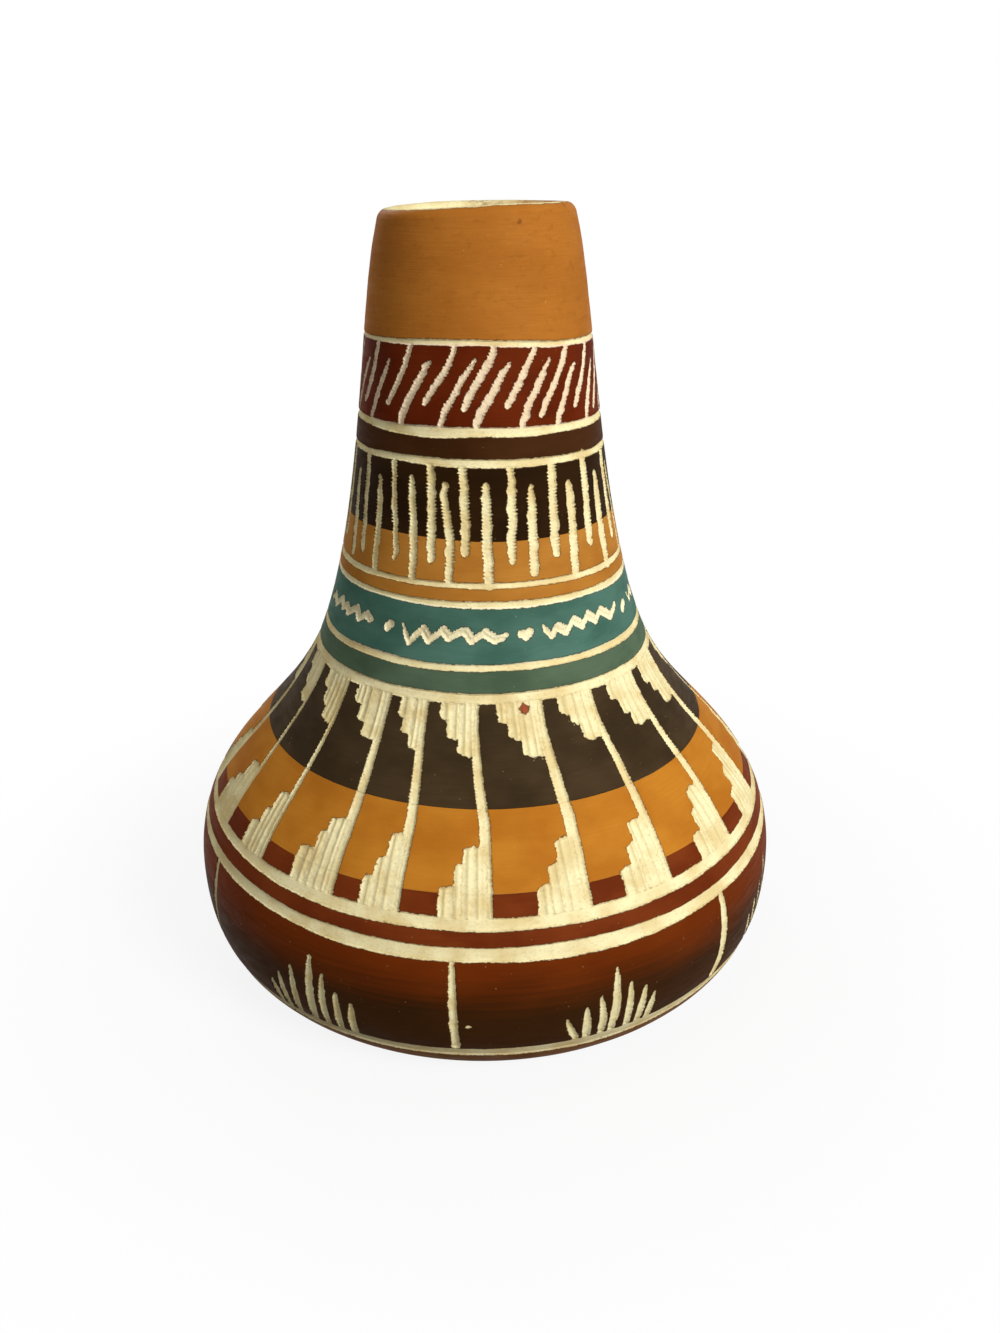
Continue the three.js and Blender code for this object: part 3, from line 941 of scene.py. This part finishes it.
class Graph:
    """Short hand for building the nodes of one material."""

    def __init__(self, name, kind="materials"):
        self.owner = getattr(bpy.data, kind).new(name)
        self.owner.use_nodes = True
        self.tree = self.owner.node_tree
        self.tree.nodes.clear()
        self.place = self.add("TexCoord").outputs["Object"]

    def add(self, kind, inputs=None, **settings):
        node = self.tree.nodes.new("ShaderNode" + kind)
        for key, value in settings.items():
            setattr(node, key, value)
        for key, value in (inputs or {}).items():
            self.feed(node.inputs[key], value)
        return node

    def feed(self, socket, value):
        if isinstance(value, bpy.types.NodeSocket):
            self.tree.links.new(value, socket)
        else:
            socket.default_value = value

    def attribute(self, name):
        return self.add("Attribute", attribute_name=name).outputs["Fac"]

    def upright(self):
        return self.add("SeparateXYZ", {"Vector": self.place}).outputs["Z"]

    def noise(self, across, upright, detail=2.0, roughness=0.5):
        """Noise whose bumps are about that many millimetres across and upright."""
        scale = (1 / (across * MM), 1 / (across * MM), 1 / (upright * MM))
        mapping = self.add("Mapping", {"Vector": self.place, "Scale": scale})
        texture = self.add("TexNoise", {
            "Vector": mapping.outputs[0], "Scale": 1.0, "Detail": detail, "Roughness": roughness,
        })
        return texture.outputs["Fac"]

    def ramp(self, value, low, high, to_low=0.0, to_high=1.0):
        """The value spread from low to high onto another range, with soft ends."""
        node = self.add("MapRange", {
            "Value": value, "From Min": low, "From Max": high, "To Min": to_low, "To Max": to_high,
        }, interpolation_type="SMOOTHSTEP")
        return node.outputs["Result"]

    def uneven(self, grain, lowest, highest):
        """A value that wanders from lowest to highest with noise of that grain."""
        return self.ramp(self.noise(*grain), 0.3, 0.7, lowest, highest)

    def math(self, operation, first, second):
        return self.add("Math", {0: first, 1: second}, operation=operation).outputs[0]

    def spot(self, angle, height, size, soft=0.4):
        """1 within a ragged spot on the outside of the vase and 0 away from its soft edge."""
        radius, turn = line_at(length_at(height))[0], math.radians(angle)
        centre = (radius * math.sin(turn) * MM, -radius * math.cos(turn) * MM, height * MM)
        away = self.add("VectorMath", {0: self.place, 1: centre}, operation="DISTANCE")
        ragged = self.uneven((1.2, 1.2, 2), -0.28 * MM, 0.28 * MM)
        edge = self.math("ADD", away.outputs["Value"], ragged)
        return self.ramp(edge, (size - 0.75 * soft) * MM, (size + 0.25 * soft) * MM, 1, 0)

    def mix(self, amount, first, second):
        return self.add("Mix", {0: amount, 6: first, 7: second}, data_type="RGBA").outputs[2]

    def mix_values(self, amount, first, second):
        return self.add("Mix", {0: amount, 2: first, 3: second}, data_type="FLOAT").outputs[0]

    def tint(self, colour, tone, grain, low, high, weak=0.0, strong=1.0):
        """The colour, mixed with a tone where noise of that grain is high."""
        return self.mix(self.ramp(self.noise(*grain), low, high, weak, strong), colour, tone)

    def seen(self):
        """1 for what the camera sees, straight or mirrored or through glass, and 0 for light."""
        path = self.add("LightPath").outputs
        indirect = self.math("MAXIMUM", path["Is Glossy Ray"], path["Is Transmission Ray"])
        return self.math("MAXIMUM", path["Is Camera Ray"], indirect)

    def finish(self, colour, roughness, height, distance):
        bump = self.add("Bump", {"Strength": 1.0, "Distance": distance * MM, "Height": height})
        shader = self.add("BsdfPrincipled", {
            "Base Color": colour, "Roughness": roughness, "Normal": bump.outputs[0],
            "Specular IOR Level": SHEEN, "Specular Tint": SHEEN_TINT,
        })
        output = self.add("OutputMaterial", {"Surface": shader.outputs[0]})
        output.is_active_output = True
        return self.owner


def darker(colour, share):
    """The colour at a share of its light; a share above 1 makes it lighter."""
    return [c * share for c in colour[:3]] + [1]


def clay_colour(graph):
    """Pale fired clay: warm, a little blotched, with fine brown grains, and with painted shade near the
    table.
    """
    colour = graph.tint(CLAY_LIGHT, CLAY_DEEP, (9, 6, 3), 0.35, 0.7)
    colour = graph.tint(colour, CLAY_MOTTLE, (0.8, 0.55), 0.5, 0.72, 0, 0.4)
    colour = graph.tint(colour, CLAY_GRAIN, (0.45, 0.45), 0.66, 0.78, 0, 0.45)
    # Painted shade: the clay darkens towards the table, most at the foot
    return graph.mix(graph.ramp(graph.upright(), 8 * MM, 16.5 * MM, 0.5, 0), colour, TABLE_SHADE)


def clay_height(graph):
    return graph.math("ADD", graph.noise(0.35, 0.35, 3), graph.noise(1.6, 0.9, 2))


def marked(graph, colour, marks):
    """A colour with single marks or stains on it."""
    for spot, tone, thin, strong in marks:
        mottle = graph.ramp(graph.noise(1.3, 0.9, 3), 0.4, 0.62, thin, strong)
        colour = graph.mix(graph.math("MULTIPLY", graph.spot(*spot), mottle), colour, tone)
    return colour


def clay_material():
    """The body's clay, with a brown stain on the inside of the mouth."""
    graph = Graph("bare_clay")
    return graph.finish(marked(graph, clay_colour(graph), MOUTH_STAINS),
                        graph.uneven((2, 2), 0.82, 0.95),
                        clay_height(graph), 0.05)


def slip_colour(graph, light, deep, blotches=1.0, streaks=0.34):
    """Brushed slip: level streaks of the brush over soft blotches, with a few specks."""
    colour = graph.tint(light, deep, (16, 10, 3), 0.35, 0.68, 0, blotches)
    colour = graph.tint(colour, deep, (9, 0.45, 3, 0.6), 0.3, 0.72, 0, streaks)
    colour = graph.tint(colour, light, (3.5, 0.22), 0.5, 0.75, 0, 0.22)
    colour = graph.tint(colour, darker(deep, 0.45), (0.5, 0.4, 1), 0.74, 0.8, 0, 0.35)
    return graph.tint(colour, CLAY_DEEP, (0.62, 0.62, 1), 0.77, 0.82, 0, 0.3)


def clay_in_cuts(graph, node, edge, deep):
    """The clay in a band's cuts: slip rubbed in near the walls, partly painted shade, a painted highlight
    in the teal band, painted shade beside the ridges, and a few pits.
    """
    # Near the walls the clay takes the slip's deep tone, rubbed-in slip that is partly painted shade; the
    # teal band's whiter tone is a painted highlight
    stain, thin, thick = SMEARS_AND_HIGHLIGHT.get(node, (deep, 0.05, 0.3))
    cloud = graph.ramp(graph.noise(0.9, 0.6, 2), 0.42, 0.72, thin, thick)
    near = graph.ramp(edge, -0.75, -0.15, thin, 1)
    clay = graph.mix(graph.math("MULTIPLY", cloud, near), clay_colour(graph), stain)
    # Painted shade beside the ridges of the flutes and along walls where cuts cross
    ridge_shade = graph.ramp(graph.attribute("ridge_shade"), 0.2, 0.9, 0, 0.42)
    clay = graph.mix(ridge_shade, clay, RIDGE_SHADE)
    pits = graph.math("MULTIPLY", graph.ramp(graph.noise(0.75, 0.75, 1), 0.71, 0.76, 0, 0.75), near)
    clay = graph.mix(pits, clay, PIT_BROWN)
    return marked(graph, clay, MOUTH_STAINS) if node == "neck_slip_tan" else clay


def cut_through(graph, node, colour, deep, ripple=0.4):
    """Slip with the clay showing wherever the edge attribute says that the tool went through."""
    ragged = graph.uneven((0.32, 0.32, 2), -0.11, 0.11)
    edge = graph.math("ADD", graph.attribute("edge"), ragged)
    # Painted shade: a thin dark line on the slip along each cut edge
    edge_shading = graph.ramp(edge, 0.02, 0.28, 0.75, 0)
    colour = graph.mix(edge_shading, colour, EDGE_SHADE)
    bare = graph.ramp(edge, -0.09, 0.03, 1, 0)
    colour = graph.mix(bare, colour, clay_in_cuts(graph, node, edge, deep))
    fine = graph.math("MULTIPLY", graph.noise(0.4, 0.4), 0.35)
    slip_height = graph.math("MULTIPLY", graph.math("ADD", graph.noise(7, 0.3, 3), fine), ripple)
    height = graph.mix_values(bare, slip_height, clay_height(graph))
    slip_rough = graph.uneven((6, 1.2, 2), *SLIP_ROUGHNESS)
    rough = graph.mix_values(bare, slip_rough, 0.9)
    return graph.finish(marked(graph, colour, MARKS.get(node, [])), rough, height, 0.05)


def slip_material(node, light, deep):
    graph = Graph(node + "_brushed")
    return cut_through(graph, node, slip_colour(graph, light, deep), deep)


def neck_material(light, deep):
    """The neck's slip: evenly toned, rippled by the brush, with faint smudges and one pit painted as a
    dark spot of shade.
    """
    graph = Graph("neck_slip_rippled")
    colour = slip_colour(graph, light, deep, NECK_BLOTCHES)
    colour = graph.tint(colour, darker(deep, 0.7), (2.6, 1.5, 4, 0.6), 0.52, 0.72, 0, 0.3)
    colour = graph.tint(colour, darker(light, 1.35), (1.7, 0.24), 0.64, 0.74, 0, 0.35)
    return cut_through(graph, "neck_slip_tan", colour, deep, NECK_RIPPLE)


def belly_material():
    """Red slip under the belly ring that darkens to near black towards the foot."""
    graph = Graph("slip_red_to_black")
    low, high = BAND_POINTS["belly_slip_red_to_black"][[0, -1], 1] * MM
    streak = graph.uneven((34, 0.9, 3), -1.3 * MM, 1.3 * MM)
    drift = graph.uneven((26, 9, 1), -MM, MM)
    upright = graph.math("ADD", graph.math("ADD", graph.upright(), streak), drift)
    fade = graph.ramp(upright, low + 0.4 * (high - low), high - MM)
    red = slip_colour(graph, *BELLY_RED, 0.5, 0.2)
    black = slip_colour(graph, *BELLY_BLACK, 0.5, 0.2)
    return cut_through(graph, "belly_slip_red_to_black", graph.mix(fade, black, red), BELLY_BLACK[0])


# Colours of the clay and the slips, as a lighter and a deeper tone
CLAY_LIGHT = srgb(248, 236, 186)
CLAY_DEEP = srgb(229, 207, 149)
CLAY_GRAIN = srgb(160, 118, 72)
PIT_BROWN = srgb(92, 60, 34)
PINK_CLAY = srgb(236, 211, 182)
# Painted highlight on the clay in the teal band's cuts
ZIGZAG_HIGHLIGHT = srgb(247, 242, 210)
# Painted shade along the slip's cut edges
EDGE_SHADE = srgb(62, 44, 20)
# Painted shade beside the frets' ridges
RIDGE_SHADE = srgb(188, 166, 104)
CLAY_MOTTLE = srgb(212, 190, 130)
# Painted shade on the clay near the table
TABLE_SHADE = srgb(132, 108, 84)
SLIP_COLOURS = {
    "slip_tan": (srgb(190, 128, 52), srgb(171, 110, 40)),
    "slip_red_brown": (srgb(105, 38, 11), srgb(86, 27, 6)),
    "slip_dark_brown": (srgb(70, 40, 18), srgb(56, 30, 11)),
    "slip_black": (srgb(71, 55, 36), srgb(54, 41, 25)),
    "slip_teal": (srgb(81, 119, 104), srgb(63, 99, 85)),
    "slip_green": (srgb(88, 108, 84), srgb(70, 89, 68)),
    "slip_ochre": (srgb(196, 127, 40), srgb(178, 108, 30)),
    "slip_rust": (srgb(121, 54, 21), srgb(102, 40, 13)),
}
# Bands darker than the rest of their slip; the foot's deeper tone is painted shade, as it turns under
# towards the table
BAND_COLOURS = {
    "neck_slip_tan": (srgb(181, 113, 42), srgb(160, 94, 31)),
    # Painted shade: the foot's tan is darkened for the shade under the belly
    "foot_slip_tan": (srgb(120, 75, 32), srgb(95, 56, 22)),
    "stroke_band_slip_black": (srgb(48, 29, 11), srgb(35, 20, 7)),
}
# The belly's red at the top and its black towards the foot
BELLY_RED = (srgb(112, 47, 10), srgb(98, 38, 6))
BELLY_BLACK = (srgb(58, 32, 10), srgb(44, 24, 7))
# The slip's lowest and highest roughness, and how strongly the neck is blotched and rippled
SLIP_ROUGHNESS = (0.51, 0.65)
NECK_BLOTCHES = 0.5
NECK_RIPPLE = 1.0
# Slip that the tool rubbed into the clay of a band's strokes, and in the teal band a painted highlight
# that lightens its cuts: its tone, and how strong it is where it is thin and where it is thick
SMEARS_AND_HIGHLIGHT = {
    "stroke_band_slip_red": (PINK_CLAY, 0.8, 1.0),
    "zigzag_band_slip_teal": (ZIGZAG_HIGHLIGHT, 0.5, 0.9),
}
# Marks: their angle, height, half width and width of a soft edge, then their tone, and how strong it
# is where the mark is thin and where it is thick. First those on the bare clay of the mouth, then
# those on two bands
MOUTH_STAINS = [
    ((173, 203, 7.5, 5), srgb(140, 106, 66), 0.1, 0.6),
    ((127, 203, 11.5, 7), srgb(178, 122, 66), 0.5, 0.85),
    ((103, 203.5, 11, 7), srgb(170, 108, 48), 0.65, 0.9),
]
MARKS = {
    # Painted shade: a dark spot for the shade in a small nick on the neck
    "neck_slip_tan": [((23.2, 200.2, 0.55), srgb(84, 42, 16), 0.3, 0.5)],
    "fret_band_slip_black": [((12.6, 89.2, 1.6), srgb(112, 66, 32), 0.99, 1),
                             ((12.6, 89.2, 1.3), srgb(158, 82, 54), 0.85, 1)],
}

SLOT_OF = {part["node"]: part["material_slot"] for part in frame["record"]["subparts"]}


def make_materials():
    """One material for each band, so that each keeps its own tone."""
    tones = {node: BAND_COLOURS.get(node, SLIP_COLOURS.get(SLOT_OF[node])) for node in SLIP_NODES}
    materials = {
        "clay_body": clay_material(),
        "belly_slip_red_to_black": belly_material(),
        "neck_slip_tan": neck_material(*tones["neck_slip_tan"]),
    }
    for node in SLIP_NODES:
        if node not in materials:
            materials[node] = slip_material(node, *tones[node])
    return materials


def add_object(name, data):
    item = bpy.data.objects.new(name, data)
    bpy.context.scene.collection.objects.link(item)
    return item


def add_piece(node, mesh, materials):
    piece = add_object(node + "_finish", mesh)
    mesh.materials.append(materials[node])
    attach(piece, "root")
    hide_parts(node)


def add_vase():
    materials = make_materials()
    foot, *middle, neck = [band[:4] for band in BANDS]
    add_piece("clay_body", body_mesh(), materials)
    add_piece(neck[0], neck_mesh(*neck), materials)
    add_piece(foot[0], foot_mesh(*foot), materials)
    on_ring = [band[4] is not None for band in BANDS]
    for plan, below, above in zip(middle, on_ring[1:], on_ring[2:]):
        add_piece(plan[0], band_mesh(*plan, below, above), materials)


# Camera, floor and light


def add_camera():
    """The photograph's camera: in front of the vase, above it and tipped down."""
    camera = add_object("camera", bpy.data.cameras.new("camera"))
    camera.data.sensor_width = SENSOR
    camera.data.lens = FOCAL_PIXELS * SENSOR / PICTURE_LONG_SIDE
    camera.data.shift_x = AXIS_OFF_CENTRE / PICTURE_LONG_SIDE
    camera.data.clip_start = 0.01
    camera.matrix_world = (
        Matrix.Translation((0, -CAMERA_DISTANCE * MM, CAMERA_HEIGHT * MM))
        @ Matrix.Rotation(math.radians(90 - CAMERA_PITCH), 4, "X")
        @ Matrix.Rotation(math.radians(-CAMERA_ROLL), 4, "Z")
    )
    bpy.context.scene.camera = camera


def floor_material():
    """White to the camera but for a soft shadow, and dark to other light, so it bounces little."""
    graph = Graph("pale_floor")
    plain = graph.add("Emission", {"Color": (1, 1, 1, 1), "Strength": 1.0})
    seen = graph.seen()
    tone = graph.mix(seen, FLOOR_BOUNCE, FLOOR_SEEN)
    lit = graph.add("BsdfDiffuse", {"Color": tone})
    away = graph.add("VectorMath", {0: graph.place}, operation="LENGTH").outputs["Value"]
    share = graph.ramp(away, 0.08, 0.2, 0.88, 1.0)
    amount = graph.math("MULTIPLY", seen, share)
    mixed = graph.add("MixShader", {0: amount, 1: lit.outputs[0], 2: plain.outputs[0]})
    graph.add("OutputMaterial", {"Surface": mixed.outputs[0]})
    return graph.owner


def add_floor():
    mesh = bpy.data.meshes.new("floor")
    corners = [(x * FLOOR_SIDE, y * FLOOR_SIDE, 0) for x, y in ((-1, -1), (1, -1), (1, 1), (-1, 1))]
    mesh.from_pydata(corners, [], [range(4)])
    mesh.materials.append(floor_material())
    add_object("floor", mesh)


def add_world():
    """White behind the vase, and an even pale light round it."""
    graph = Graph("studio", "worlds")
    strength = graph.add("MapRange", {"Value": graph.seen(), "To Min": FILL_STRENGTH, "To Max": 1.0})
    background = graph.add("Background", {"Color": (1, 1, 1, 1), "Strength": strength.outputs["Result"]})
    graph.add("OutputWorld", {"Surface": background.outputs[0]})
    bpy.context.scene.world = graph.owner


def add_lamp(name, place_m, size, watts):
    lamp = bpy.data.lights.new(name, "AREA")
    lamp.shape = "DISK"
    lamp.size = size
    lamp.energy = watts
    holder = add_object(name, lamp)
    aim = Vector((0, 0, 0.1)) - Vector(place_m)
    holder.matrix_world = Matrix.Translation(place_m) @ aim.to_track_quat("-Z", "Y").to_matrix().to_4x4()


add_camera()
add_vase()
add_floor()
add_world()
add_lamp("key_lamp", (0.62, -0.7, 0.62), 0.45, KEY_WATTS)
add_lamp("back_lamp", (-0.35, 0.85, 0.6), 0.45, BACK_WATTS)
add_lamp("side_lamp", (-0.75, -0.4, 0.3), 0.5, SIDE_WATTS)
bpy.context.scene.view_settings.view_transform = "Standard"
